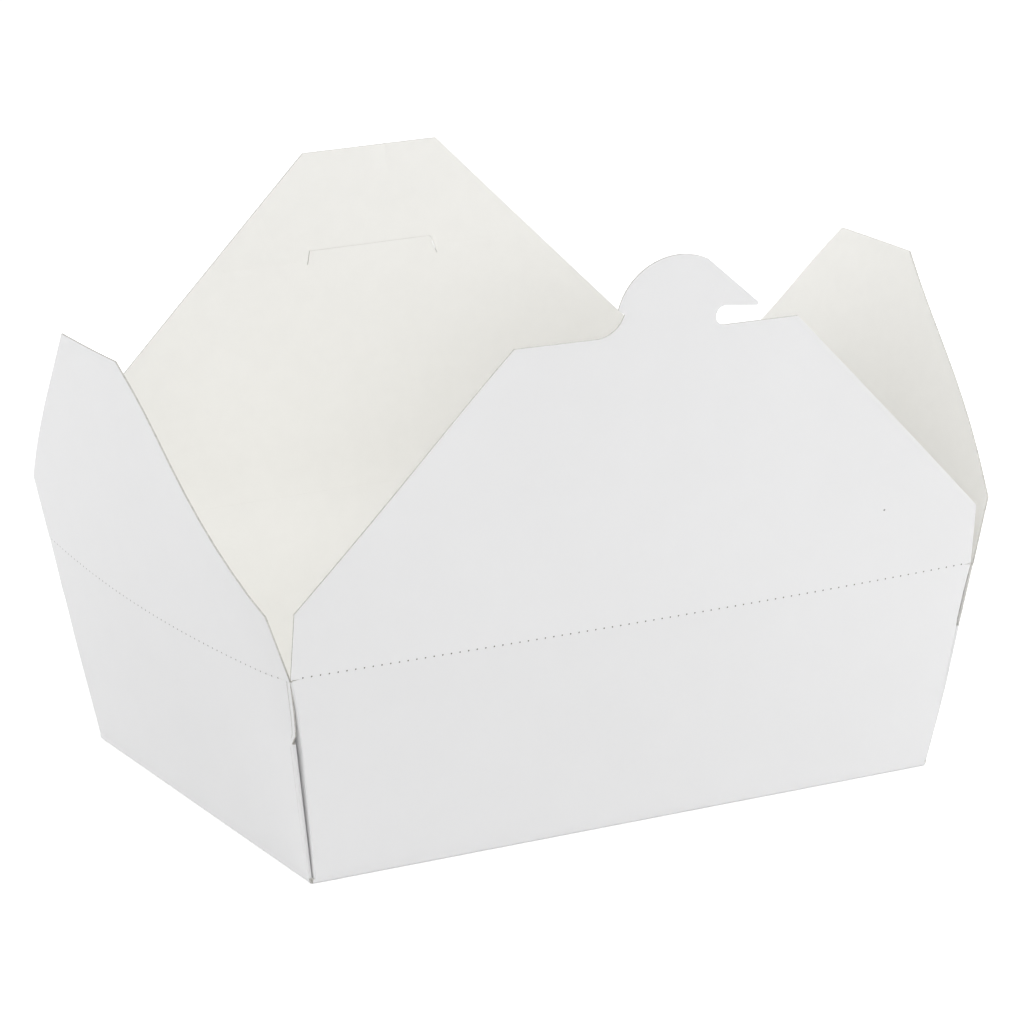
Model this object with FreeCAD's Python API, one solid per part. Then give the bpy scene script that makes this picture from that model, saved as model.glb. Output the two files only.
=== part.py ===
import FreeCAD, Part
import math
import os

# Takeout food box folded from one sheet of paperboard, standing open.
# Millimetres, +Z up. The origin is the centre of the base's underside. The long sides run along X:
# the flap with the hook stands at -Y, the flap with the slit at +Y, and a plain flap at each end.

V = FreeCAD.Vector

# Board and folds
board = 0.5              # thickness of the paperboard
base_fold_radius = 0.8   # outside of the fold between the base and each wall
layer_gap = 0.15         # air between two layers that are folded onto each other
rim_gap = 0.2            # air between a wall's top edge and the flap that turns there
stack_gap = 0.15         # air between an end flap and a side flap that closes over it

# Tray
base_length = 197.0
base_width = 147.0
rim_height = 62.5        # fold line of the side flaps above the table
flare = 9.7              # how far each wall leans out between the base and rim_height
corner_radius = 1.6      # outside of the turn from a side wall into its corner web
end_wall_inset = 0.3     # end wall's upright edge, back from the side wall's outer face
web_drop = 1.3           # web tops below rim_height
web_lift = 1.0           # web feet above the table
web_foot = 3.0           # width of a web at its foot
crease_height = 42.8     # the end wall joins its web up to here, and is cut free above

# Flap with the hook
hook_lean_angle = 7.0    # degrees outward from upright, as it stands open
hook_fold_inset = 1.3    # end of its fold line, back from the corner of the rim
hook_shoulder_inset = 2.1
hook_shoulder = 18.5     # distances from the fold line are measured along the flap
hook_reach = 84.2
hook_top_half = 42.3
tab_radius = 18.0        # round head of the hook
tab_centre = 5.4         # its centre, right of the flap's middle
tab_rise = 3.6           # and past the flap's top edge
tab_root_radius = 8.5    # hollow where the head grows from the flap's left
tab_root_start = 18.4    # start of the hollow, left of the flap's middle
tab_root_end = 6.2       # top of the hollow past the flap's top edge
tab_step = 1.3           # rise from the hollow to the head's overhang
tab_bend = 14.2          # where the head's round ends and its straight back begins
tab_tip = 31.1           # where back and underside would meet, right of the flap's middle
tab_tip_fall = 1.2       # the underside comes down by this towards the point
tab_tip_radius = 0.6
notch_width = 5.6        # gap between the hook and the flap's top edge, at its closed end
notch_end = 17.2         # closed end of that gap

# Flap with the slit
slotted_lean_angle = 0.5
slotted_shoulder = 21.4
slotted_reach = 105.0
slotted_top_half = 22.1
slit_half = 20.3
slit_distance = 75.0
slit_width = 0.4
slit_hook_out = 1.5      # the slit's ends curl outward by this
slit_hook_down = 5.0     # and towards the fold line by this
score_distance = 71.7
score_width = 0.8
score_depth = 0.1
score_clear = 3.0        # score line stops this far from the slit

# End flaps
end_lean_angle = 13.5
end_inset = 1.0
end_shoulder = 19.5
end_reach = 79.0
end_top_half = 19.0

# Values that follow from these
slope = flare / rim_height
wall_lean = math.degrees(math.atan(slope))
level = board / math.cos(math.atan(slope))   # a wall's thickness measured level
end_fold_height = rim_height - board - stack_gap
web_top = rim_height - web_drop
web_face = base_length / 2 - 2 * level - 2 * layer_gap   # outer face of a web at table height
rim_half_length = base_length / 2 + flare
rim_half_width = base_width / 2 + flare
past = 10.0              # how far a cutting tool runs past what it cuts


def polygon(points):
    return Part.Face(Part.makePolygon(points + points[:1]))


def outline(start, *moves):
    # A flat face in the XZ plane. A move is the next point, or an arc's middle and end points.
    edges = []
    here = V(start[0], 0, start[1])
    last = moves[-1][1] if isinstance(moves[-1][0], tuple) else moves[-1]
    closing = () if last == start else (start,)
    for move in moves + closing:
        if isinstance(move[0], tuple):
            middle, end = (V(p[0], 0, p[1]) for p in move)
            edges.append(Part.Arc(here, middle, end).toShape())
        else:
            end = V(move[0], 0, move[1])
            edges.append(Part.makeLine(here, end))
        here = end
    return Part.Face(Part.Wire(edges))


def trough(base_half, run_half, run_inset, wall_top):
    # A strip bent up along its two long edges: base, two folds and two leaning walls.
    # Its walls stand at +Y and -Y, and its ends are cut to lean out as the next walls do.
    tangent = base_fold_radius * math.tan(math.radians((90 - wall_lean) / 2))
    lean = math.radians(wall_lean)
    centre = (base_half - tangent, base_fold_radius)
    turn = math.radians(-90 + (90 - wall_lean) / 2)
    inner_radius = base_fold_radius - board

    def on_arc(radius, angle):
        return (centre[0] + radius * math.cos(angle), centre[1] + radius * math.sin(angle))

    rim_out = (base_half + wall_top * slope, wall_top)
    rim_in = (rim_out[0] - level, wall_top)
    outer = [rim_out, on_arc(base_fold_radius, -lean), on_arc(base_fold_radius, turn), (centre[0], 0.0)]
    inner = [rim_in, on_arc(inner_radius, -lean), on_arc(inner_radius, turn), (centre[0], board)]

    def mirrored(p):
        return (-p[0], p[1])

    section = outline(
        outer[0],
        outer[1],
        (outer[2], outer[3]),
        mirrored(outer[3]),
        (mirrored(outer[2]), mirrored(outer[1])),
        mirrored(outer[0]),
        mirrored(inner[0]),
        mirrored(inner[1]),
        (mirrored(inner[2]), mirrored(inner[3])),
        inner[3],
        (inner[2], inner[1]),
        inner[0],
    )
    section.rotate(V(), V(0, 0, 1), 90)
    far = run_half + flare + past
    section.translate(V(-far, 0, 0))
    strip = section.extrude(V(2 * far, 0, 0))

    low, high = -past, rim_height + past
    low_half = run_half - run_inset + low * slope
    high_half = run_half - run_inset + high * slope
    across = base_half + flare + past
    keep = polygon([V(-low_half, -across, low), V(low_half, -across, low),
                    V(high_half, -across, high), V(-high_half, -across, high)])
    return strip.common(keep.extrude(V(0, 2 * across, 0)))


def corner():
    # One corner of the tray, at +X and +Y: the side wall turns in to a web that lies flat inside the
    # end wall, doubles back on its slanted fold, and joins the end wall's upright edge.
    half_width = base_width / 2
    turn_x = web_face - corner_radius
    turn_y = half_width - corner_radius
    overlap = 2 * board
    inner_radius = corner_radius - level
    diagonal = math.cos(math.radians(45))

    # the turn, drawn level and carried up along the leaning corner
    def plan(x, y):
        return V(x + web_lift * slope, y + web_lift * slope, web_lift)

    outer_arc = Part.Arc(plan(turn_x, half_width),
                         plan(turn_x + corner_radius * diagonal, turn_y + corner_radius * diagonal),
                         plan(web_face, turn_y)).toShape()
    inner_arc = Part.Arc(plan(web_face - level, turn_y),
                         plan(turn_x + inner_radius * diagonal, turn_y + inner_radius * diagonal),
                         plan(turn_x, half_width - level)).toShape()
    edges = [
        Part.makeLine(plan(turn_x - overlap, half_width), plan(turn_x, half_width)),
        outer_arc,
        Part.makeLine(plan(web_face, turn_y), plan(web_face, turn_y - overlap)),
        Part.makeLine(plan(web_face, turn_y - overlap), plan(web_face - level, turn_y - overlap)),
        Part.makeLine(plan(web_face - level, turn_y - overlap), plan(web_face - level, turn_y)),
        inner_arc,
        Part.makeLine(plan(turn_x, half_width - level), plan(turn_x - overlap, half_width - level)),
        Part.makeLine(plan(turn_x - overlap, half_width - level), plan(turn_x - overlap, half_width)),
    ]
    rise = web_top - web_lift
    turn = Part.Face(Part.Wire(edges)).extrude(V(rise * slope, rise * slope, rise))

    # the two halves of a web are equal, so together with the base and two walls they make a full turn
    edge_lean = math.degrees(math.atan(slope * math.cos(math.radians(wall_lean))))
    web_half_angle = (360 - 90 - 2 * (90 + edge_lean)) / 2
    fold_slope = math.tan(math.radians(web_half_angle - edge_lean)) / math.cos(math.radians(wall_lean))

    def fold_y(z):
        return half_width - web_foot - (z - web_lift) * fold_slope

    def layer(face_x, depth, points):
        # a flat piece whose outer face leans with the end wall, through face_x at table height
        return polygon([V(face_x + z * slope, y, z) for y, z in points]).extrude(V(-depth, 0, 0))

    def turn_edge(z):
        return turn_y - overlap / 2 + z * slope

    def end_edge(z):
        return half_width - end_wall_inset + z * slope

    side_half = layer(web_face, level, [
        (turn_edge(web_lift), web_lift), (turn_edge(web_top), web_top),
        (fold_y(web_top), web_top), (fold_y(web_lift), web_lift)])
    end_face = web_face + layer_gap + level
    end_half = layer(end_face, level, [
        (end_edge(web_lift), web_lift), (end_edge(crease_height), crease_height),
        (fold_y(web_top), web_top), (fold_y(web_lift), web_lift)])
    slanted_fold = layer(end_face, 2 * level + layer_gap, [
        (fold_y(web_lift) + board / 2, web_lift), (fold_y(web_top) + board / 2, web_top),
        (fold_y(web_top) - board / 2, web_top), (fold_y(web_lift) - board / 2, web_lift)])
    upright_fold = layer(base_length / 2, 2 * level + layer_gap, [
        (end_edge(web_lift), web_lift), (end_edge(crease_height), crease_height),
        (end_edge(crease_height) - board, crease_height), (end_edge(web_lift) - board, web_lift)])
    return [turn, side_half, end_half, slanted_fold, upright_fold]


def tray():
    turn_start = base_length / 2 - web_face + corner_radius
    sides = trough(base_width / 2, base_length / 2, turn_start, rim_height - board / 2 - rim_gap)
    ends = trough(base_length / 2, base_width / 2, end_wall_inset, end_fold_height - board / 2 - rim_gap)
    ends.rotate(V(), V(0, 0, 1), 90)
    pieces = [ends]
    right_back = corner()
    left_back = [p.mirror(V(), V(1, 0, 0)) for p in right_back]
    pieces += right_back + left_back
    pieces += [p.mirror(V(), V(0, 1, 0)) for p in right_back + left_back]
    return sides.fuse(pieces).removeSplitter()


def sheet(face, reach, widest):
    # Board cut to an outline, with its lower edge rounded about the fold line at z = 0.
    half = board / 2
    edges = [
        Part.makeLine(V(-widest, half, 0), V(-widest, half, reach)),
        Part.makeLine(V(-widest, half, reach), V(-widest, -half, reach)),
        Part.makeLine(V(-widest, -half, reach), V(-widest, -half, 0)),
        Part.Arc(V(-widest, -half, 0), V(-widest, 0, -half), V(-widest, half, 0)).toShape(),
    ]
    blank = Part.Face(Part.Wire(edges)).extrude(V(2 * widest, 0, 0))
    face.translate(V(0, -board, 0))
    return blank.common(face.extrude(V(0, 2 * board, 0)))


def place(flap, lean, rim_half, fold_height, quarter_turns):
    # Leans the flap out, sets it on the wall at -Y and turns it round to its own side.
    flap.rotate(V(), V(1, 0, 0), lean)
    flap.translate(V(0, -(rim_half - level / 2), fold_height))
    flap.rotate(V(), V(0, 0, 1), 90 * quarter_turns)
    return flap


def hook_flap():
    fold_half = rim_half_length - hook_fold_inset
    shoulder_half = rim_half_length - hook_shoulder_inset
    head_z = hook_reach + tab_rise

    def head(x, side=1):
        return math.sqrt(tab_radius ** 2 - (x - tab_centre) ** 2) * side + head_z

    # the hollow on the left, an arc that leaves the flap's top edge along it
    hollow_z = hook_reach + tab_root_radius
    root_end_z = hook_reach + tab_root_end
    swing = math.acos(1 - tab_root_end / tab_root_radius)

    def hollow(angle):
        return (-tab_root_start + tab_root_radius * math.sin(angle), hollow_z - tab_root_radius * math.cos(angle))

    overhang_z = root_end_z + tab_step
    overhang_x = tab_centre - math.sqrt(tab_radius ** 2 - (overhang_z - head_z) ** 2)

    # the hook's point, rounded between its straight back and its straight underside
    notch_x = notch_end + notch_width / 2
    under_z = hook_reach + notch_width
    tip_z = under_z - tab_tip_fall
    bend_z = head(tab_bend)
    fall = math.atan2(bend_z - tip_z, tab_tip - tab_bend)
    tilt = math.atan2(tab_tip_fall, tab_tip - notch_x)
    set_back = tab_tip_radius / math.sin((fall - tilt) / 2)
    inward = (fall + tilt) / 2
    tip_centre = (tab_tip - set_back * math.cos(inward), tip_z + set_back * math.sin(inward))

    def tip(angle):
        return (tip_centre[0] + tab_tip_radius * math.cos(angle), tip_centre[1] + tab_tip_radius * math.sin(angle))

    tip_start = math.pi / 2 - fall
    tip_end = -math.pi / 2 - tilt
    face = outline(
        (-fold_half, -board),
        (-fold_half, 0.0),
        (-shoulder_half, hook_shoulder),
        (-hook_top_half, hook_reach),
        hollow(0),
        (hollow(swing / 2), hollow(swing)),
        (overhang_x, overhang_z),
        ((tab_centre, head_z + tab_radius), (tab_bend, bend_z)),
        tip(tip_start),
        (tip((tip_start + tip_end) / 2), tip(tip_end)),
        (notch_x, under_z),
        ((notch_end, hook_reach + notch_width / 2), (notch_x, hook_reach)),
        (hook_top_half, hook_reach),
        (shoulder_half, hook_shoulder),
        (fold_half, 0.0),
        (fold_half, -board),
    )
    tallest = head_z + tab_radius + past
    return place(sheet(face, tallest, rim_half_length), hook_lean_angle, rim_half_width, rim_height, 0)


def slit_cut():
    # The slit and its two curled ends, as a thin blade through the flap.
    half = slit_width / 2
    end_x = slit_half + slit_hook_out
    end_z = slit_distance - slit_hook_down
    middle = (slit_half + slit_hook_out * 0.75, slit_distance - slit_hook_down / 2)

    def mirrored(p):
        return (-p[0], p[1])

    def arc(offset, flip):
        points = [(middle[0] + offset, middle[1]), (end_x + offset, end_z)]
        return tuple(mirrored(p) if flip else p for p in points)

    top, bottom = slit_distance + half, slit_distance - half
    inner_middle, inner_start = (middle[0] - half, middle[1]), (slit_half - half, bottom)
    face = outline(
        (-slit_half - half, top),
        (slit_half + half, top),
        arc(half, False),
        (end_x - half, end_z),
        (inner_middle, inner_start),
        mirrored(inner_start),
        (mirrored(inner_middle), mirrored((end_x - half, end_z))),
        (-end_x - half, end_z),
        (arc(half, True)[0], (-slit_half - half, top)),
    )
    face.translate(V(0, -past, 0))
    return face.extrude(V(0, 2 * past, 0))


def slotted_flap():
    fold_half = rim_half_length - hook_fold_inset
    shoulder_half = rim_half_length - hook_shoulder_inset
    face = outline(
        (-fold_half, -board),
        (-fold_half, 0.0),
        (-shoulder_half, slotted_shoulder),
        (-slotted_top_half, slotted_reach),
        (slotted_top_half, slotted_reach),
        (shoulder_half, slotted_shoulder),
        (fold_half, 0.0),
        (fold_half, -board),
    )
    flap = sheet(face, slotted_reach + past, rim_half_length).cut(slit_cut())
    score_start = slit_half + slit_hook_out + score_clear
    groove = Part.makeBox(rim_half_length, board, score_width,
                          V(score_start, board / 2 - score_depth, score_distance - score_width / 2))
    flap = flap.cut([groove, groove.mirror(V(), V(1, 0, 0))])
    return place(flap, slotted_lean_angle, rim_half_width, rim_height, 2)


def end_flap(quarter_turns):
    half = rim_half_width - end_inset
    face = outline(
        (-half, -board),
        (-half, end_shoulder),
        (-end_top_half, end_reach),
        (end_top_half, end_reach),
        (half, end_shoulder),
        (half, -board),
    )
    blank = sheet(face, end_reach + past, rim_half_width)
    return place(blank, end_lean_angle, rim_half_length, end_fold_height, quarter_turns)


def main():
    nodes = {
        "tray": tray(),
        "hook_flap": hook_flap(),
        "slotted_flap": slotted_flap(),
        "left_end_flap": end_flap(-1),
        "right_end_flap": end_flap(1),
    }
    os.makedirs("parts", exist_ok=True)
    for name, shape in nodes.items():
        shape.exportStep(f"parts/{name}.step")
        box = shape.BoundBox
        print(name, "valid", shape.isValid(), "solids", len(shape.Solids), "volume", round(shape.Volume, 1),
              "x", round(box.XMin, 2), round(box.XMax, 2), "y", round(box.YMin, 2), round(box.YMax, 2),
              "z", round(box.ZMin, 2), round(box.ZMax, 2))


main()
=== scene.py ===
import math

import bmesh
import bpy
from mathutils import Matrix, Vector


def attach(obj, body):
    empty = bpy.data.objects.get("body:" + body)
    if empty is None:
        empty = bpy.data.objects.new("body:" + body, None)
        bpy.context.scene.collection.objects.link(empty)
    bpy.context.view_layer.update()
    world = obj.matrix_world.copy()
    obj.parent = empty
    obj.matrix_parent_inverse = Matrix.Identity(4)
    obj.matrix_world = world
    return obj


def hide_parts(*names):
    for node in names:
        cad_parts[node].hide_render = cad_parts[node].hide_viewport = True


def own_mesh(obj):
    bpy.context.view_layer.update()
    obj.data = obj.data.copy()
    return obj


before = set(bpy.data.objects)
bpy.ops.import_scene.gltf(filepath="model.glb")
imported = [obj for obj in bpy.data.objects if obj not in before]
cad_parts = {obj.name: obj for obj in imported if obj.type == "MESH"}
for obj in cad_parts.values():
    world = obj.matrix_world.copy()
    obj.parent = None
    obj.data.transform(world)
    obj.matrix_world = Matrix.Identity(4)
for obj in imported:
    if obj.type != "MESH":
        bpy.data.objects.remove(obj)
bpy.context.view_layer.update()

# Takeout food box, standing open. Lengths in the dictionaries are millimetres, except those of the studio
# and the depths of the bumps, which are metres. finishPiece turns each piece into metres.
mm = 0.001
print("frame loaded")

# The board and what the walls share
carton = {
    "board": 0.5,
    "foldRadius": 0.8,     # outside of the fold between base and wall
    "layerGap": 0.15,      # between two layers folded onto each other
    "flare": 9.7,          # how far a wall leans out up to flareHeight
    "flareHeight": 62.5,
    "wallStart": 1.5,      # height at which the wall sheets take over from the base sheet
    "cell": 6.0,           # spacing of the cuts that let a sheet curl
    "flapFoot": -0.25,     # where a flap sheet starts, measured up from its fold line
    "arcStep": 6,          # degrees between the points of a round edge
}
slope = carton["flare"] / carton["flareHeight"]
level = carton["board"] / math.cos(math.atan(slope))  # a wall's thickness measured level

# Four sides. Each is drawn as the front one, with x along it, and turned to its place.
sides = {
    "front": {"turns": 0, "along": 98.5, "out": 73.5, "fold": 62.5, "bow": 1.53, "skew": 0.5,
              "sheetHalf": 94.0},
    "right": {"turns": 1, "along": 73.5, "out": 98.5, "fold": 61.85, "bow": 4.45, "skew": 0.0,
              "sheetHalf": 71.3},
    "back": {"turns": 2, "along": 98.5, "out": 73.5, "fold": 62.5, "bow": 2.4, "skew": 0.0,
             "sheetHalf": 94.0},
    "left": {"turns": 3, "along": 73.5, "out": 98.5, "fold": 61.85, "bow": 4.45, "skew": 0.0,
             "sheetHalf": 71.3},
}

# Flaps as they stand: angles in degrees, planeLean is how they lie once flattened.
# curl is how much further each end leans, from curlStart of the half length on.
flaps = {
    "front": {"lean": 6.45, "twist": 3.68, "planeLean": 7.0, "curl": (2.9, 2.2), "curlStart": 0.4,
              "joint": "hook_flap_fold"},
    "right": {"lean": 10.37, "twist": 0.0, "planeLean": 13.5, "curl": (4.9, 4.9), "curlStart": 0.3,
              "joint": "right_end_flap_fold"},
    "back": {"lean": -1.53, "twist": 0.0, "planeLean": 0.5, "curl": (0.0, 0.0), "curlStart": 0.4,
             "joint": "slotted_flap_fold"},
    "left": {"lean": 10.57, "twist": 0.0, "planeLean": 13.5, "curl": (1.4, 5.6), "curlStart": 0.3,
             "joint": "left_end_flap_fold"},
}

# How each corner gives, by the signs of its x and y: push moves the end wall's edge out and pull moves
# the side wall's turn in, each as pairs of height and distance.
cornerGive = {
    (-1, -1): {"push": [(0, 0), (42.8, 0), (45, -1.0), (50, -1.35), (63, -1.35)],
               "pull": [(0, 0), (14, 0.35), (26, 0.55), (40, 0.85), (54, 0.75), (63, 0)]},
    (1, -1): {"push": [(0, 0.3), (14, 0.85), (25, 1.1), (42, 0.8), (45, 0.4), (63, 0.3)],
              "pull": [(0, 0), (14, 0.05), (33, 0.32), (54, 0.36), (63, 0)]},
    (-1, 1): {"push": [(0, 0), (30, 0.3), (63, 0)], "pull": [(0, 0), (40, 0.6), (63, 0)]},
    (1, 1): {"push": [(0, 0), (30, 0.3), (63, 0)], "pull": [(0, 0), (40, 0.6), (63, 0)]},
}


def between(knots, z):
    for (z0, v0), (z1, v1) in zip(knots, knots[1:]):
        if z <= z1:
            return v0 + (v1 - v0) * (z - z0) / (z1 - z0)
    return knots[-1][1]


def smoothStep(low, high, value):
    t = min(max((value - low) / (high - low), 0.0), 1.0)
    return t * t * (3 - 2 * t)


def fade(away, reach):
    return min(1.0, max(0.0, 1 - away / reach))


def bowAt(side, x, z):
    # outward bow of the rim, read at a place on the wall
    s = sides[side]
    u = x / (s["along"] + slope * z)
    return s["bow"] * (1 - u * u) * (1 + s["skew"] * u)


# How far from the corner the give is still felt
giveReach = {
    "start": 1.2,          # full up to here
    "alongEnd": 14.0,      # along the end wall
    "upFlap": 25.0,        # up the flap
    "turnStart": 0.4,      # along the web, from the turn
    "turnEnd": 5.0,
    "alongSide": 2.5,      # along the side wall
}
# One fold is soft: how far it reaches from its line, its radius, and the shares of the half length
# between which it turns sharp
softFold = {"side": "back", "reach": 9.0, "radius": 82.0, "ends": (0.8, 0.94)}
curlEnd = 0.95             # share of the half length at which a flap's curl is complete


def edgePush(side, x, z):
    # how far an end wall's upright edge is pushed out, fading away from the corner
    if side in ("front", "back"):
        return 0.0
    signX, signY = (-1, -1 if x > 0 else 1) if side == "left" else (1, 1 if x > 0 else -1)
    away = sides[side]["along"] + slope * z - abs(x) - giveReach["start"]
    return between(cornerGive[signX, signY]["push"], z) * fade(away, giveReach["alongEnd"]) ** 2


def crease(side, apart, x):
    # how far in the board lies where wall and flap turn into each other over some length
    if side != softFold["side"] or apart >= softFold["reach"]:
        return 0.0
    middle = 1 - smoothStep(*softFold["ends"], abs(x) / (sides[side]["along"] + carton["flare"]))
    return middle * (softFold["reach"] - apart) ** 2 / (2 * softFold["radius"])


def rimAt(side, x):
    # how far out and how high the fold line runs, in the middle of the board
    s = sides[side]
    reach = carton["flare"] + bowAt(side, x, s["fold"])
    height = math.sqrt(s["fold"] ** 2 + carton["flare"] ** 2 - reach ** 2)
    return s["out"] + reach - level / 2, height


def placed(side, x, outward, z):
    return Matrix.Rotation(math.radians(90 * sides[side]["turns"]), 3, "Z") @ Vector((x, -outward, z))


def flapPoint(side, x, r):
    f = flaps[side]
    outward, height = rimAt(side, x)
    u = x / (sides[side]["along"] + carton["flare"])
    curl = f["curl"][1 if u > 0 else 0] * smoothStep(f["curlStart"], curlEnd, abs(u))
    lean = math.radians(f["lean"] + f["twist"] * u + curl)
    push = edgePush(side, x, sides[side]["fold"]) * max(0.0, 1 - r / giveReach["upFlap"])
    outward += push - crease(side, abs(r), x)
    return placed(side, x, outward + r * math.sin(lean), height + r * math.cos(lean))


# Finishes: one board, seen on its coated side, its plain side and its cut edges, which carry painted shade,
# and the painted shade in its pinholes. A noise is a scale, a detail and at times a stretch. Each bump is a
# noise with the bump's depth and strength.
finishes = {
    # white clay coat: smooth, with the board's faint fibre showing through, and one dark speck
    "coatedOutside": {
        "colour": (0.787, 0.787, 0.79), "roughness": 0.5, "specular": 0.35,
        "noise": (70, 4), "shades": (0.996, 1.003),
        "bumps": [((180, 3), (0.00006, 0.5)), ((1400, 2), (0.00001, 0.35))],
        "speck": {"along": 75.0, "up": 21.9, "radius": 0.4, "colour": (0.30, 0.30, 0.29)},
    },
    # uncoated side: warm, a little rougher and mottled
    "creamInside": {
        "colour": (0.905, 0.899, 0.872), "roughness": 0.8, "specular": 0.2,
        "noise": (210, 5), "shades": (0.994, 1.004),
        "bumps": [((260, 4), (0.00012, 0.5)), ((1700, 2, (1, 1, 0.4)), (0.00002, 0.4))],
    },
    # the board's cut edges: fibrous, and painted grey, far darker than the board's cream, as painted shade
    # along the thin edges
    "shadedCutEdge": {
        "colour": (0.58, 0.57, 0.54), "roughness": 0.85, "specular": 0.15,
        "noise": (900, 4), "shades": (0.9, 1.08),
        "bumps": [((2500, 2), (0.00003, 0.5))],
    },
    # pinholes: a near-black colour on the hole's closed floor, painted shade standing in for a deep hole
    # through the board
    "pinholeShade": {
        "colour": (0.17, 0.16, 0.145), "roughness": 0.9, "specular": 0.1,
        "noise": (1200, 2), "shades": (0.8, 1.2),
        "bumps": [],
    },
}


def newFinish(name, roughness, specular):
    finish = bpy.data.materials.new(name)
    finish.use_nodes = True
    shader = finish.node_tree.nodes["Principled BSDF"]
    shader.inputs["Roughness"].default_value = roughness
    shader.inputs["Specular IOR Level"].default_value = specular
    return finish, finish.node_tree, shader


def addNoise(tree, scale, detail, stretch=None):
    place = tree.nodes.new("ShaderNodeTexCoord")
    noise = tree.nodes.new("ShaderNodeTexNoise")
    noise.inputs["Scale"].default_value = scale
    noise.inputs["Detail"].default_value = detail
    if stretch:
        mapping = tree.nodes.new("ShaderNodeMapping")
        mapping.inputs["Scale"].default_value = stretch
        tree.links.new(place.outputs["Object"], mapping.inputs["Vector"])
        tree.links.new(mapping.outputs["Vector"], noise.inputs["Vector"])
    else:
        tree.links.new(place.outputs["Object"], noise.inputs["Vector"])
    return noise.outputs["Fac"]


def addRamp(tree, factor, low, high, start=0.35, end=0.65):
    ramp = tree.nodes.new("ShaderNodeValToRGB")
    ramp.color_ramp.elements[0].position = start
    ramp.color_ramp.elements[1].position = end
    ramp.color_ramp.elements[0].color = (*low, 1)
    ramp.color_ramp.elements[1].color = (*high, 1)
    tree.links.new(factor, ramp.inputs["Fac"])
    return ramp.outputs["Color"]


def addBump(tree, shader, height, distance, strength, after):
    bump = tree.nodes.new("ShaderNodeBump")
    bump.inputs["Strength"].default_value = strength
    bump.inputs["Distance"].default_value = distance
    tree.links.new(height, bump.inputs["Height"])
    if after:
        tree.links.new(after, bump.inputs["Normal"])
    tree.links.new(bump.outputs["Normal"], shader.inputs["Normal"])
    return bump.outputs["Normal"]


def shade(colour, factor):
    return tuple(c * factor for c in colour)


def addSpot(tree, centre, radius, colour, spotColour):
    # a small mark round a point, in metres
    place = tree.nodes.new("ShaderNodeTexCoord")
    apart = tree.nodes.new("ShaderNodeVectorMath")
    apart.operation = "DISTANCE"
    apart.inputs[1].default_value = centre
    near = tree.nodes.new("ShaderNodeMath")
    near.operation = "LESS_THAN"
    near.inputs[1].default_value = radius
    mix = tree.nodes.new("ShaderNodeMix")
    mix.data_type = "RGBA"
    mix.inputs["B"].default_value = (*spotColour, 1)
    tree.links.new(place.outputs["Object"], apart.inputs[0])
    tree.links.new(apart.outputs["Value"], near.inputs[0])
    tree.links.new(near.outputs["Value"], mix.inputs["Factor"])
    tree.links.new(colour, mix.inputs["A"])
    return mix.outputs["Result"]


def makeFinish(name):
    f = finishes[name]
    finish, tree, shader = newFinish(name, f["roughness"], f["specular"])
    low, high = (shade(f["colour"], factor) for factor in f["shades"])
    colour = addRamp(tree, addNoise(tree, *f["noise"]), low, high)
    speck = f.get("speck")
    if speck:
        centre = flapPoint("front", speck["along"], speck["up"]) * mm
        colour = addSpot(tree, centre, speck["radius"] * mm, colour, speck["colour"])
    tree.links.new(colour, shader.inputs["Base Color"])
    normal = None
    for noise, depth in f["bumps"]:
        normal = addBump(tree, shader, addNoise(tree, *noise), *depth, normal)
    return finish


boardFinishes = [makeFinish(name) for name in ("coatedOutside", "creamInside", "shadedCutEdge")]
pinholeShadeFinish = makeFinish("pinholeShade")
print("finishes made")


def finishPiece(name, bm, finishList, body="tray", nodes=("tray",), side=None):
    # Turns a sheet in millimetres into a piece in metres, with its board thickness still live.
    bmesh.ops.scale(bm, vec=(mm, mm, mm), verts=bm.verts)
    for edge in bm.edges:
        edge.smooth = len(edge.link_faces) == 2
    for face in bm.faces:
        face.smooth = True
    mesh = bpy.data.meshes.new(name)
    bm.to_mesh(mesh)
    bm.free()
    for finish in finishList:
        mesh.materials.append(finish)
    piece = bpy.data.objects.new(name, mesh)
    bpy.context.scene.collection.objects.link(piece)
    wall = piece.modifiers.new("board", "SOLIDIFY")
    wall.thickness = carton["board"] * mm
    wall.offset = 0.0
    wall.use_even_offset = True
    wall.material_offset = 1
    # the rims take the cut edges' grey, which carries painted shade
    wall.material_offset_rim = 2
    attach(piece, body)
    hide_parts(*nodes)
    if side:
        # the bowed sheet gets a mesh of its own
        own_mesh(piece)
    return piece


def moveVerts(bm, newPlace):
    for vert in bm.verts:
        vert.co = newPlace(vert.co.copy())


def cutLines(bm, places, axis):
    # cuts every face along lines of equal x or z
    for place in places:
        bmesh.ops.bisect_plane(
            bm, geom=bm.verts[:] + bm.edges[:] + bm.faces[:], dist=1e-5,
            plane_co=axis * place, plane_no=axis)


def spread(low, high, step):
    count = max(1, round((high - low) / step))
    return [low + (high - low) * i / count for i in range(1, count)]


# Base sheet with its four folds and the feet of the walls
baseGrid = {"columns": 34, "rows": 26, "foldSteps": 5}


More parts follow.
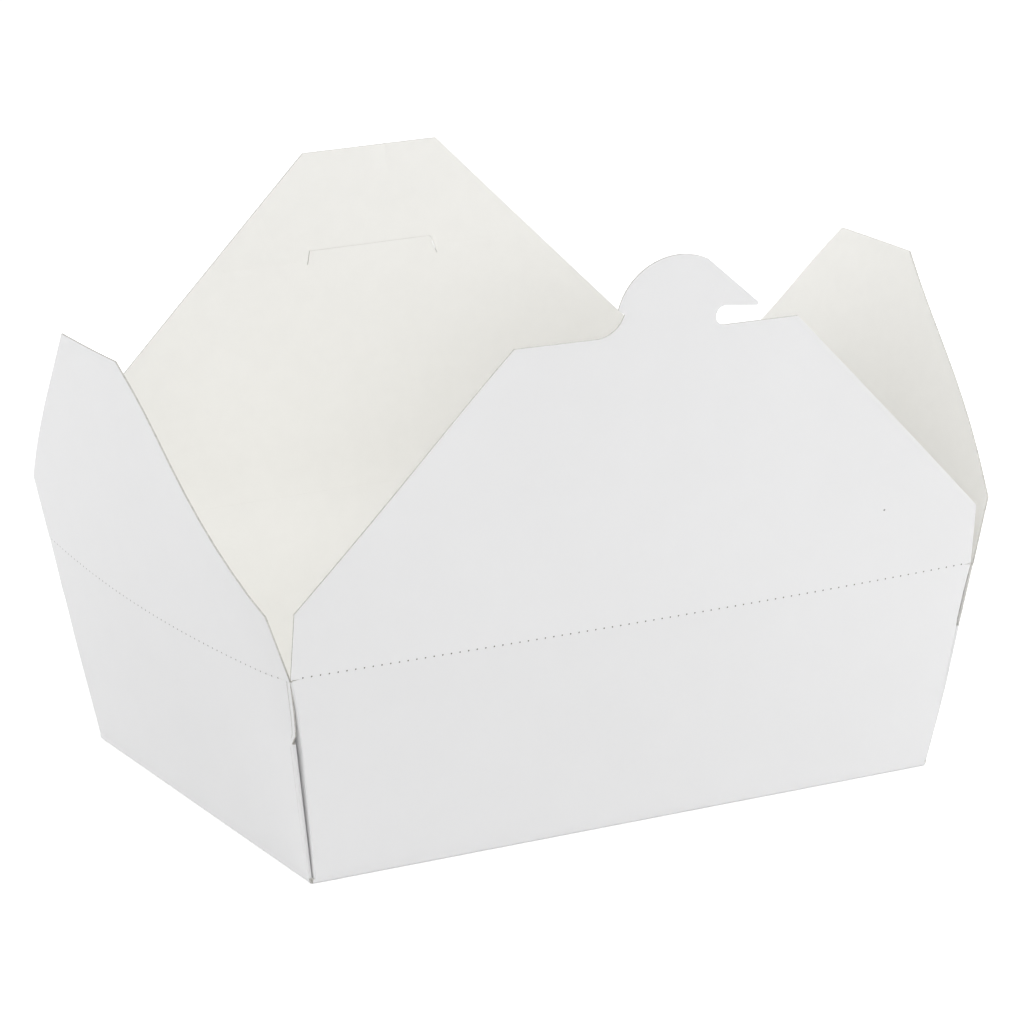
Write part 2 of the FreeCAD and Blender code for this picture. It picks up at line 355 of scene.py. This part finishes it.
def baseSheet():
    tangent = carton["foldRadius"] * math.tan((math.pi / 2 - math.atan(slope)) / 2)
    middle = carton["board"] / 2
    halfX, halfY = sides["front"]["along"] - tangent, sides["right"]["along"] - tangent
    bm = bmesh.new()
    bmesh.ops.create_grid(bm, x_segments=baseGrid["columns"], y_segments=baseGrid["rows"], size=1.0)
    moveVerts(bm, lambda p: Vector((p.x * halfX, p.y * halfY, middle)))
    for direction, half in (((1, 0), halfX), ((-1, 0), halfX), ((0, 1), halfY), ((0, -1), halfY)):
        outward = Vector((direction[0], direction[1], 0))
        rim = [e for e in bm.edges if len(e.link_faces) == 1
               and all(abs(v.co.dot(outward) - half) < 1e-3 and abs(v.co.z - middle) < 1e-3 for v in e.verts)]
        fold = bmesh.ops.spin(
            bm, geom=rim, cent=outward * half + Vector((0, 0, carton["foldRadius"])),
            axis=outward.cross(Vector((0, 0, 1))), angle=math.pi / 2 - math.atan(slope),
            steps=baseGrid["foldSteps"])
        last = [e for e in fold["geom_last"] if isinstance(e, bmesh.types.BMEdge)]
        foot = bmesh.ops.extrude_edge_only(bm, edges=last)
        verts = [v for v in foot["geom"] if isinstance(v, bmesh.types.BMVert)]
        rise = carton["wallStart"] - verts[0].co.z
        bmesh.ops.translate(bm, verts=verts, vec=outward * rise * slope + Vector((0, 0, rise)))
    bmesh.ops.remove_doubles(bm, verts=bm.verts, dist=1e-4)
    for name, s in sides.items():
        out = placed(name, 0, 1, 0)
        along = placed(name, 1, 0, 0)
        for vert in bm.verts:
            if vert.co.z > carton["wallStart"] - 0.01 and vert.co.dot(out) > s["out"]:
                vert.co += out * bowAt(name, vert.co.dot(along), 0) * vert.co.z / s["fold"]
    # the white side of the sheet faces down and out
    bmesh.ops.recalc_face_normals(bm, faces=bm.faces)
    floorFace = min(bm.faces, key=lambda f: f.calc_center_median().length)
    if floorFace.normal.z > 0:
        bmesh.ops.reverse_faces(bm, faces=bm.faces)
    finishPiece("baseSheet", bm, boardFinishes)


baseSheet()


# Wall sheets, each a grid of columns along the wall and rows up it
wallGrid = {"columns": 56, "rows": 30, "underFold": 0.1}


def wallSheet(side):
    s = sides[side]
    start = carton["wallStart"] / s["fold"]
    end = 1 - wallGrid["underFold"] / s["fold"]
    footHalf = s["sheetHalf"]
    topHalf = footHalf + slope * s["fold"]

    def bowed(p):
        t = start + (end - start) * (p.y + 1) / 2
        outward, height = rimAt(side, p.x * topHalf)
        flat = s["out"] - level / 2
        x, z = p.x * (footHalf + (topHalf - footHalf) * t), height * t
        out = flat + (outward - flat) * t + edgePush(side, x, z) - crease(side, height - z, x)
        return placed(side, x, out, z)

    bm = bmesh.new()
    bmesh.ops.create_grid(bm, x_segments=wallGrid["columns"], y_segments=wallGrid["rows"], size=1.0)
    moveVerts(bm, bowed)
    if bm.faces[:][0].normal.dot(placed(side, 0, 1, 0)) < 0:
        bmesh.ops.reverse_faces(bm, faces=bm.faces)
    bm.normal_update()
    finishPiece(side + "Wall", bm, boardFinishes, side=side)


for side in sides:
    wallSheet(side)
print("tray sheets made")


# Corner webs: the side wall turns in, lies flat inside the end wall, doubles back and meets its edge
webFold = {
    "foot": 1.5,
    "sideTop": 62.3,
    "webTop": 61.2,
    "turnDrop": 0.7,           # the side wall's top falls this much towards the turn
    "footWidth": 3.0,
    "foldStart": 1.0,          # height at which the slanted fold is footWidth from the side wall
    "foldSlope": 0.528,        # how fast it runs in as it climbs
    "endEdge": 72.25,          # end wall's upright edge at table height
    "freeEdge": 72.55,         # the same edge where it is cut free
    "strip": 1.0,              # width that runs on round that edge
    "creaseHeight": 42.8,      # the edge is cut free above this
    "turnRadius": 0.4,
    "bevel": 1.6,
    "foldBevel": 0.28,
    "stripRise": 0.35,         # the strip stands this much higher than the web
    "rowStep": 2.6,
    "insets": (2.2, 3.6, 5.4, 8.0, 11.0, 15.0),  # upright rows behind the turn
    "layerBand": (0.2, 0.01),  # how far inside the middle and the outer layer the cut one is looked for
    "cutUnder": 0.5,           # faces are cut away from this far under creaseHeight up
    "cutInside": 12.0,         # and from this far inside the slanted fold's top out
    "stripBand": 0.4,          # how close to the outer layer a point belongs to the strip
    "freeOver": 0.2,           # the free edge starts this far over creaseHeight
    "edgeBand": 0.6,           # and its points are this close to endEdge
    "turnBand": 0.02,          # slack in finding the points of the turn
    "webBand": 0.1,            # and those of the web
    "sideBand": (3.0, 0.2),    # how close to the side wall, and how far short of the web, it still bows
}


def webRows(webFace):
    # one corner's layers as level rows of points, at the foot and at the top
    c = webFold
    innerX = webFace - level / 2
    middleX = webFace + carton["layerGap"] + level / 2
    outerX = sides["right"]["out"] - level / 2
    sideY = sides["front"]["out"] - level / 2
    rows = []
    for z, high in ((c["foot"], False), (c["webTop"], True)):
        foldY = sides["front"]["out"] - c["footWidth"] - (z - c["foldStart"]) * c["foldSlope"] - slope * z
        places = [
            (sides["front"]["sheetHalf"], sideY, c["sideTop"] if high else z),
            (innerX, sideY, c["sideTop"] - c["turnDrop"] if high else z),
            (innerX, foldY, z),
            (middleX, foldY, z),
            (middleX, c["endEdge"], z),
            (outerX, c["endEdge"], z + c["stripRise"] if high else z),
            (outerX, c["endEdge"] - c["strip"], z + c["stripRise"] if high else z),
        ]
        rows.append([Vector((x + slope * top, y + slope * top, top)) for x, y, top in places])
    return rows


def cutWebFree(bm, middleX, outerX):
    # above the crease the inner layer is cut away on a slant and the end wall's edge stands free
    c = webFold
    foldTop = sides["front"]["out"] - c["footWidth"] - (c["webTop"] - c["foldStart"]) * c["foldSlope"]
    low = Vector((0, c["endEdge"] + slope * c["creaseHeight"], c["creaseHeight"]))
    run = Vector((0, foldTop, c["webTop"])) - low
    across = Vector((0, -run.z, run.y)).normalized()
    lowX, highX = middleX - c["layerBand"][0], outerX - c["layerBand"][1]

    def inLayer(p):
        return lowX < p.x - slope * p.z < highX

    layer = [f for f in bm.faces if inLayer(f.calc_center_median())]
    geom = layer + list({e for f in layer for e in f.edges}) + list({v for f in layer for v in f.verts})
    bmesh.ops.bisect_plane(bm, geom=geom, dist=1e-5, plane_co=low, plane_no=across)
    gone = []
    for face in bm.faces:
        p = face.calc_center_median()
        if inLayer(p) and (p - low).dot(across) * across.z > 0 \
                and p.z > c["creaseHeight"] - c["cutUnder"] and p.y - slope * p.z > foldTop - c["cutInside"]:
            gone.append(face)
    bmesh.ops.delete(bm, geom=gone, context="FACES")


def cornerWebs():
    c = webFold
    webFace = sides["right"]["out"] - 2 * level - 2 * carton["layerGap"]
    innerX = webFace - level / 2
    middleX = webFace + carton["layerGap"] + level / 2
    outerX = sides["right"]["out"] - level / 2
    sideY = sides["front"]["out"] - level / 2
    bm = bmesh.new()
    feet, tops = [[bm.verts.new(p) for p in row] for row in webRows(webFace)]
    for i in range(len(feet) - 1):
        bm.faces.new((feet[i + 1], feet[i], tops[i], tops[i + 1]))
    turnEdge = [bm.edges.get((feet[1], tops[1]))]
    foldEdges = [bm.edges.get((feet[i], tops[i])) for i in (2, 3, 4, 5)]
    for edges, offset, segments in ((turnEdge, c["bevel"], 6), (foldEdges, c["foldBevel"], 4)):
        bmesh.ops.bevel(bm, geom=[e for e in edges if e.is_valid], offset=offset, offset_type="OFFSET",
                        segments=segments, profile=0.5, affect="EDGES", material=-1, clamp_overlap=False)
    cutLines(bm, spread(c["foot"], c["creaseHeight"], c["rowStep"]) + [c["creaseHeight"]]
             + spread(c["creaseHeight"], c["webTop"], c["rowStep"]), Vector((0, 0, 1)))
    for inset in c["insets"]:
        bmesh.ops.bisect_plane(bm, geom=bm.verts[:] + bm.edges[:] + bm.faces[:], dist=1e-5,
                               plane_co=(0, sideY - inset, 0), plane_no=(0, 1, -slope))
    cutWebFree(bm, middleX, outerX)
    quarter = bm.verts[:] + bm.edges[:] + bm.faces[:]
    for axis in (Vector((-1, 1, 1)), Vector((1, -1, 1)), Vector((-1, -1, 1))):
        copy = bmesh.ops.duplicate(bm, geom=quarter)["geom"]
        verts = [g for g in copy if isinstance(g, bmesh.types.BMVert)]
        faces = [g for g in copy if isinstance(g, bmesh.types.BMFace)]
        bmesh.ops.scale(bm, vec=axis, verts=verts)
        if axis.x * axis.y < 0:
            bmesh.ops.reverse_faces(bm, faces=faces)
    scale = (c["turnRadius"] - level / 2) / c["bevel"]
    for vert in bm.verts:
        signX, signY = (1 if vert.co.x > 0 else -1), (1 if vert.co.y > 0 else -1)
        z = vert.co.z
        x, y = abs(vert.co.x) - slope * z, abs(vert.co.y) - slope * z
        outerStrip = x > outerX - c["stripBand"]
        if outerStrip and z > c["creaseHeight"] + c["freeOver"] and y > c["endEdge"] - c["edgeBand"]:
            y = c["freeEdge"]
        # tighten the turn, then let the corner give
        inX, inY = innerX - x, sideY - y
        if all(-1e-3 < inside < c["bevel"] + c["turnBand"] for inside in (inX, inY)):
            x, y = innerX - inX * scale, sideY - inY * scale
        runX = min(1.0, max(0.0, (x - sides["front"]["sheetHalf"]) / giveReach["alongSide"]))
        near = cornerGive[signX, signY]
        push = between(near["push"], z)
        if not outerStrip:
            push = max(push, 0.0)
        shift = push * fade(sideY - y - giveReach["start"], giveReach["alongEnd"]) ** 2
        if x < innerX + c["webBand"]:
            shift -= between(near["pull"], z) * fade(sideY - y - giveReach["turnStart"], giveReach["turnEnd"])
        x += shift * runX
        name = "right" if signX > 0 else "left"
        if outerStrip:
            along = y + slope * z if (signX > 0) == (signY > 0) else -(y + slope * z)
            x += bowAt(name, along, z) * z / sides[name]["fold"]
        name = "back" if signY > 0 else "front"
        if y > sideY - c["sideBand"][0] and x < innerX - c["sideBand"][1]:
            along = (x + slope * z) * signX * (-1 if name == "back" else 1)
            y += bowAt(name, along, z) * z / sides[name]["fold"]
        vert.co = Vector((signX * (x + slope * z), signY * (y + slope * z), z))
    bm.normal_update()
    piece = finishPiece("cornerWebs", bm, boardFinishes)
    piece.modifiers.new("flatFaces", "WEIGHTED_NORMAL").keep_sharp = True


cornerWebs()
print("corner webs made")


# Flap sheets, drawn flat with x along the fold and z up the flap, then curled to their place
def outlineEdges(bm, start, moves):
    # A move is a point, or ("arc", centre, degrees): clockwise is positive.
    first = last = bm.verts.new((start[0], 0, start[1]))
    for move in moves:
        if move[0] == "arc":
            turned = bmesh.ops.spin(
                bm, geom=[last], cent=(move[1][0], 0, move[1][1]), axis=(0, 1, 0),
                angle=math.radians(move[2]), steps=max(3, round(abs(move[2]) / carton["arcStep"])))
            last = [g for g in turned["geom_last"] if isinstance(g, bmesh.types.BMVert)][0]
        else:
            point = bm.verts.new((move[0], 0, move[1]))
            bm.edges.new((last, point))
            last = point
    if (last.co - first.co).length < 1e-3:
        bmesh.ops.weld_verts(bm, targetmap={last: first})
    else:
        bm.edges.new((last, first))


def cutSheet(side, name, body, start, moves, hole=None, extraX=(), extraZ=(), relief=None):
    bm = bmesh.new()
    outlineEdges(bm, start, moves)
    if hole:
        outlineEdges(bm, hole[0], hole[1:])
    bmesh.ops.triangle_fill(bm, use_beauty=True, edges=bm.edges[:], normal=(0, -1, 0))
    xs = [v.co.x for v in bm.verts]
    zs = [v.co.z for v in bm.verts]
    cutLines(bm, spread(min(xs), max(xs), carton["cell"]) + list(extraX), Vector((1, 0, 0)))
    cutLines(bm, spread(min(zs), max(zs), carton["cell"]) + list(extraZ), Vector((0, 0, 1)))
    bm.normal_update()
    for face in bm.faces:
        if face.normal.y > 0:
            face.normal_flip()
    turn = Matrix.Rotation(math.radians(90 * sides[side]["turns"]), 3, "Z")
    for vert in bm.verts:
        x, r = vert.co.x, vert.co.z
        vert.co = flapPoint(side, x, r)
        if relief:
            vert.co += turn @ Vector((0, -relief(x, r), 0))
    bm.normal_update()
    finishPiece(name, bm, boardFinishes, body=body, nodes=(body,), side=side)


# Hook flap: its straight edges, and the hook's round head, hollow, tip and notch
hook = {
    "foldHalf": 106.9, "shoulderHalf": 106.1, "shoulder": 18.5, "reach": 84.2, "topHalf": 42.3,
    "headRadius": 18.0, "headCentre": (5.4, 87.8), "bend": 14.2,
    "hollowStart": -18.4, "hollowRadius": 8.5, "hollowEnd": 90.4, "overhang": 91.7,
    "underside": 89.8, "tip": (31.1, 88.6), "tipRadius": 0.6, "notchX": 20.0, "notchRadius": 2.8,
}


def hookFlap():
    h = hook
    cx, cz = h["headCentre"]
    hollowSwing = math.degrees(math.acos(1 - (h["hollowEnd"] - h["reach"]) / h["hollowRadius"]))
    overX = cx - math.sqrt(h["headRadius"] ** 2 - (h["overhang"] - cz) ** 2)
    startAngle = math.degrees(math.atan2(h["overhang"] - cz, overX - cx))
    bendAngle = math.degrees(math.acos((h["bend"] - cx) / h["headRadius"]))
    bendZ = cz + math.sqrt(h["headRadius"] ** 2 - (h["bend"] - cx) ** 2)
    tipX, tipZ = h["tip"]
    fall = math.atan2(bendZ - tipZ, tipX - h["bend"])
    tilt = math.atan2(h["underside"] - tipZ, tipX - h["notchX"])
    setBack = h["tipRadius"] / math.sin((fall - tilt) / 2)
    inward = (fall + tilt) / 2
    tipCentre = (tipX - setBack * math.cos(inward), tipZ + setBack * math.sin(inward))
    tipStart = (tipCentre[0] + h["tipRadius"] * math.sin(fall),
                tipCentre[1] + h["tipRadius"] * math.cos(fall))
    cutSheet(
        "front", "hookFlap", "hook_flap", (-h["foldHalf"], carton["flapFoot"]),
        [
            (-h["foldHalf"], 0.0),
            (-h["shoulderHalf"], h["shoulder"]),
            (-h["topHalf"], h["reach"]),
            (h["hollowStart"], h["reach"]),
            ("arc", (h["hollowStart"], h["reach"] + h["hollowRadius"]), -hollowSwing),
            (overX, h["overhang"]),
            ("arc", (cx, cz), startAngle - bendAngle),
            tipStart,
            ("arc", tipCentre, 180 - math.degrees(fall - tilt)),
            (h["notchX"], h["underside"]),
            ("arc", (h["notchX"], h["underside"] - h["notchRadius"]), -180),
            (h["topHalf"], h["reach"]),
            (h["shoulderHalf"], h["shoulder"]),
            (h["foldHalf"], 0.0),
            (h["foldHalf"], carton["flapFoot"]),
        ])


hookFlap()


# Slotted flap: its straight edges and its slit
slotted = {
    "foldHalf": 106.9, "shoulderHalf": 106.1, "shoulder": 21.4, "reach": 105.0, "topHalf": 22.1,
    "slit": [
        (20.55, 75.3), (21.0, 73.4), (21.35, 70.9), (21.1, 70.9), (20.72, 73.3), (20.4, 74.97),
        (-19.6, 74.97), (-20.4, 73.2), (-21.9, 69.4), (-22.0, 69.45), (-20.5, 73.3), (-19.7, 75.03),
        (20.2, 75.03),
    ],
    "cutsAlong": [-24.4, 24.4], "cutsUp": [1.5, 3.0, 4.5, 7.5],  # extra cuts beside the slit and the fold
}

# Marks on the slotted flap: score lines beside the slit, the sunk strip under it, the raised lip at one
# end of it, and a nick in the top edge. The lip's cuts are a start, a step and a number each way.
marks = {
    "score": {"up": 71.8, "start": 24.0, "end": 52.4, "half": 0.2, "side": 0.5, "depth": 0.075},
    "dip": {"half": 20.5, "start": 66, "end": 74.99, "run": 9, "depth": 0.05},
    "lip": {"low": 69.5, "high": 75.5, "left": -24.6, "right": -19.5, "crest": -20.6, "crestUp": 75.0,
            "slant": 0.25, "half": 0.7, "rise": 0.28, "lowFade": 2, "highFade": 1.5,
            "cutsAlong": (-20.0, -0.35, 8), "cutsUp": (69.5, 0.75, 9)},
    "nick": {"along": -5.3, "half": 0.1, "side": 0.3, "start": 98.7, "depth": 0.12},
}


def slottedFlap():
    # its x runs the other way from the frame's, as on every piece drawn on the back
    s = slotted
    score, dip, lip, nick = (marks[k] for k in ("score", "dip", "lip", "nick"))

    def relief(x, r):
        depth = 0.0
        if score["start"] < abs(x) < score["end"] and abs(r - score["up"]) < score["half"]:
            depth += score["depth"]
        if abs(x) < dip["half"] and dip["start"] < r < dip["end"]:
            depth += dip["depth"] * ((r - dip["start"]) / dip["run"]) ** 2
        if lip["left"] < x < lip["right"]:
            crest = lip["crest"] - (lip["crestUp"] - r) * lip["slant"]
            apart = abs(x - crest) / lip["half"]
            if apart < 1 and lip["low"] < r < lip["high"]:
                ends = min(1.0, (r - lip["low"]) / lip["lowFade"], (lip["high"] - r) / lip["highFade"])
                depth -= lip["rise"] * (1 - apart) * ends
        if abs(x - nick["along"]) < nick["half"] and r > nick["start"]:
            depth += nick["depth"]
        return depth

    def lipCuts(start, step, count):
        return [start + i * step for i in range(count)]

    cutSheet(
        "back", "slottedFlap", "slotted_flap", (-s["foldHalf"], carton["flapFoot"]),
        [
            (-s["foldHalf"], 0.0),
            (-s["shoulderHalf"], s["shoulder"]),
            (-s["topHalf"], s["reach"]),
            (s["topHalf"], s["reach"]),
            (s["shoulderHalf"], s["shoulder"]),
            (s["foldHalf"], 0.0),
            (s["foldHalf"], carton["flapFoot"]),
        ],
        hole=s["slit"],
        extraX=[nick["along"] - nick["side"], nick["along"], nick["along"] + nick["side"],
                -score["end"], score["end"]] + s["cutsAlong"] + lipCuts(*lip["cutsAlong"]),
        extraZ=[score["up"] - score["side"], score["up"], score["up"] + score["side"], nick["start"]]
        + s["cutsUp"] + lipCuts(*lip["cutsUp"]),
        relief=relief)


slottedFlap()


# Both end flaps have the same edges
endFlap = {"half": 82.2, "shoulder": 19.5, "reach": 79.0, "topHalf": 19.0}


def plainEndFlap(side, name, body):
    e = endFlap
    cutSheet(side, name, body, (-e["half"], carton["flapFoot"]), [
        (-e["half"], e["shoulder"]),
        (-e["topHalf"], e["reach"]),
        (e["topHalf"], e["reach"]),
        (e["half"], e["shoulder"]),
        (e["half"], carton["flapFoot"]),
    ])


plainEndFlap("left", "leftEndFlap", "left_end_flap")
plainEndFlap("right", "rightEndFlap", "right_end_flap")
print("flaps made")


# Perforations along each fold: a pinhole with a raised rim; its floor is closed and painted dark, as painted
# shade of a hole right through the board
perforation = {
    "pitch": {"front": 2.588, "right": 2.7, "back": 2.588, "left": 2.7},
    "start": {"front": -103.4, "right": -78.5, "back": -103.4, "left": -79.0},
    "end": {"front": 105.2, "right": 80.0, "back": 103.6, "left": 80.0},
    "hole": 0.25, "crest": 0.4, "outer": 0.62,  # radii
    "sidesOfRing": 10,
    "proud": 0.07,
    "outerShare": 0.6,     # thickness at the outer ring, where it is 1 at the crest
    "floorWeight": 0.55,   # how far between the two the thickness of the hole's floor is
}


def perforations(side):
    p = perforation
    bm = bmesh.new()
    count = int((p["end"][side] - p["start"][side]) / p["pitch"][side]) + 1
    for i in range(count):
        x = p["start"][side] + i * p["pitch"][side]
        bmesh.ops.create_circle(bm, cap_ends=True, segments=p["sidesOfRing"], radius=p["outer"],
                                matrix=Matrix.Translation((x, 0, 0)) @ Matrix.Rotation(math.pi / 2, 4, "X"))
    outer = set(bm.verts)
    bmesh.ops.inset_individual(bm, faces=bm.faces[:], thickness=p["outer"] - p["crest"], use_even_offset=True)
    crest = set(bm.verts) - outer
    holes = [f for f in bm.faces if all(v in crest for v in f.verts)]
    bmesh.ops.inset_individual(bm, faces=holes, thickness=p["crest"] - p["hole"], use_even_offset=True)
    floor = set(bm.verts) - outer - crest
    # the hole's floor takes the pinhole colour: painted shade
    for face in bm.faces:
        if all(v in floor for v in face.verts):
            face.material_index = len(boardFinishes)
    bm.verts.index_update()
    crestIndices, floorIndices = [v.index for v in crest], [v.index for v in floor]
    # the marks stand out on the coated side only
    proud = placed(side, 0, p["proud"], 0)
    for vert in bm.verts:
        vert.co = flapPoint(side, vert.co.x, vert.co.z) + proud
    if bm.faces[:][0].normal.dot(placed(side, 0, 1, 0)) < 0:
        bmesh.ops.reverse_faces(bm, faces=bm.faces)
    piece = finishPiece(side + "Perforations", bm, boardFinishes + [pinholeShadeFinish], side=side)
    rim = piece.vertex_groups.new(name="rim")
    rim.add(crestIndices, 1.0, "REPLACE")
    rim.add(floorIndices, p["floorWeight"], "REPLACE")
    piece.modifiers["board"].vertex_group = "rim"
    piece.modifiers["board"].thickness_vertex_group = p["outerShare"]


for side in sides:
    perforations(side)
print("perforations made")


# Floor, light and camera
studio = {
    "floorHalf": 6.0,
    "floorDrop": 0.00005,  # keeps the floor's face apart from the base's
    "floorWhite": 0.94,
    "floorGloss": (0.9, 0.1),  # roughness and specular
    "floorLift": 0.4,      # seen by the camera only
    "world": 0.34,
    "aim": (0, 0, 0.07),   # what every lamp points at
    # name, place, size, watts
    "lamps": [
        ("leftBackSoftbox", (-0.75, 1.1, 0.5), (0.7, 0.7), 6.6),
        ("rightBackSoftbox", (0.9, 0.9, 0.8), (0.7, 0.7), 5.0),
        ("leftSoftbox", (-1.3, 0.25, 0.5), (0.7, 0.7), 3.0),
        ("leftFrontSoftbox", (-0.6, -1.3, 0.7), (0.9, 0.9), 4.4),
        ("rightFrontSoftbox", (0.7, -0.6, 1.1), (0.6, 0.6), 5.6),
        ("highFrontSoftbox", (-0.6, -0.6, 1.2), (0.6, 0.6), 2.0),
        ("nearRightSoftbox", (0.55, -0.45, 0.3), (0.35, 0.35), 1.1),
    ],
}


def makeFloor():
    bm = bmesh.new()
    bmesh.ops.create_grid(bm, x_segments=1, y_segments=1, size=studio["floorHalf"])
    bmesh.ops.translate(bm, verts=bm.verts, vec=(0, 0, -studio["floorDrop"]))
    mesh = bpy.data.meshes.new("studioFloor")
    bm.to_mesh(mesh)
    bm.free()
    floor = bpy.data.objects.new("studioFloor", mesh)
    bpy.context.scene.collection.objects.link(floor)
    finish, tree, shader = newFinish("palePaper", *studio["floorGloss"])
    shader.inputs["Base Color"].default_value = (*(3 * [studio["floorWhite"]]), 1)
    light = tree.nodes.new("ShaderNodeEmission")
    add = tree.nodes.new("ShaderNodeAddShader")
    path = tree.nodes.new("ShaderNodeLightPath")
    lift = tree.nodes.new("ShaderNodeMath")
    lift.operation = "MULTIPLY"
    lift.inputs[1].default_value = studio["floorLift"]
    tree.links.new(path.outputs["Is Camera Ray"], lift.inputs[0])
    tree.links.new(lift.outputs["Value"], light.inputs["Strength"])
    tree.links.new(shader.outputs["BSDF"], add.inputs[0])
    tree.links.new(light.outputs["Emission"], add.inputs[1])
    tree.links.new(add.outputs["Shader"], tree.nodes["Material Output"].inputs["Surface"])
    mesh.materials.append(finish)


def makeWorld():
    world = bpy.data.worlds.new("studio")
    world.use_nodes = True
    tree = world.node_tree
    light = tree.nodes["Background"]
    light.inputs["Color"].default_value = (1, 1, 1, 1)
    light.inputs["Strength"].default_value = studio["world"]
    seen = tree.nodes.new("ShaderNodeBackground")
    seen.inputs["Color"].default_value = (1, 1, 1, 1)
    seen.inputs["Strength"].default_value = 1.0
    path = tree.nodes.new("ShaderNodeLightPath")
    mix = tree.nodes.new("ShaderNodeMixShader")
    tree.links.new(path.outputs["Is Camera Ray"], mix.inputs["Fac"])
    tree.links.new(light.outputs["Background"], mix.inputs[1])
    tree.links.new(seen.outputs["Background"], mix.inputs[2])
    tree.links.new(mix.outputs["Shader"], tree.nodes["World Output"].inputs["Surface"])
    bpy.context.scene.world = world


def makeLamps():
    for name, place, size, power in studio["lamps"]:
        data = bpy.data.lights.new(name, "AREA")
        data.shape = "RECTANGLE"
        data.size, data.size_y = size
        data.energy = power
        lamp = bpy.data.objects.new(name, data)
        lamp.location = place
        lamp.rotation_mode = "QUATERNION"
        lamp.rotation_quaternion = (Vector(studio["aim"]) - Vector(place)).to_track_quat("-Z", "Y")
        bpy.context.scene.collection.objects.link(lamp)


view = {
    "azimuth": -27.204, "elevation": 15.72, "roll": -1.159,
    "target": (512.996, 992.163, -241.35), "distance": 2580.556,
    "focal": 4906.836, "width": 1024,  # in pixels of the picture
    "sensor": 36.0,
    "clip": (0.05, 50),    # metres
}


def makeCamera():
    a, e, r = (math.radians(view[k]) for k in ("azimuth", "elevation", "roll"))
    back = Vector((math.sin(a) * math.cos(e), -math.cos(a) * math.cos(e), math.sin(e)))
    right = Vector((math.cos(a), math.sin(a), 0))
    up = back.cross(right)
    tiltedRight = right * math.cos(r) + up * math.sin(r)
    tiltedUp = up * math.cos(r) - right * math.sin(r)
    data = bpy.data.cameras.new("photoView")
    data.sensor_width = view["sensor"]
    data.lens = view["focal"] * view["sensor"] / view["width"]
    data.clip_start, data.clip_end = view["clip"]
    camera = bpy.data.objects.new("photoView", data)
    place = (Vector(view["target"]) + back * view["distance"]) * mm
    camera.matrix_world = Matrix((tiltedRight, tiltedUp, back)).transposed().to_4x4()
    camera.location = place
    bpy.context.scene.collection.objects.link(camera)
    bpy.context.scene.camera = camera


makeFloor()
makeWorld()
makeLamps()
makeCamera()
bpy.context.scene.view_settings.view_transform = "Standard"
print("studio made")
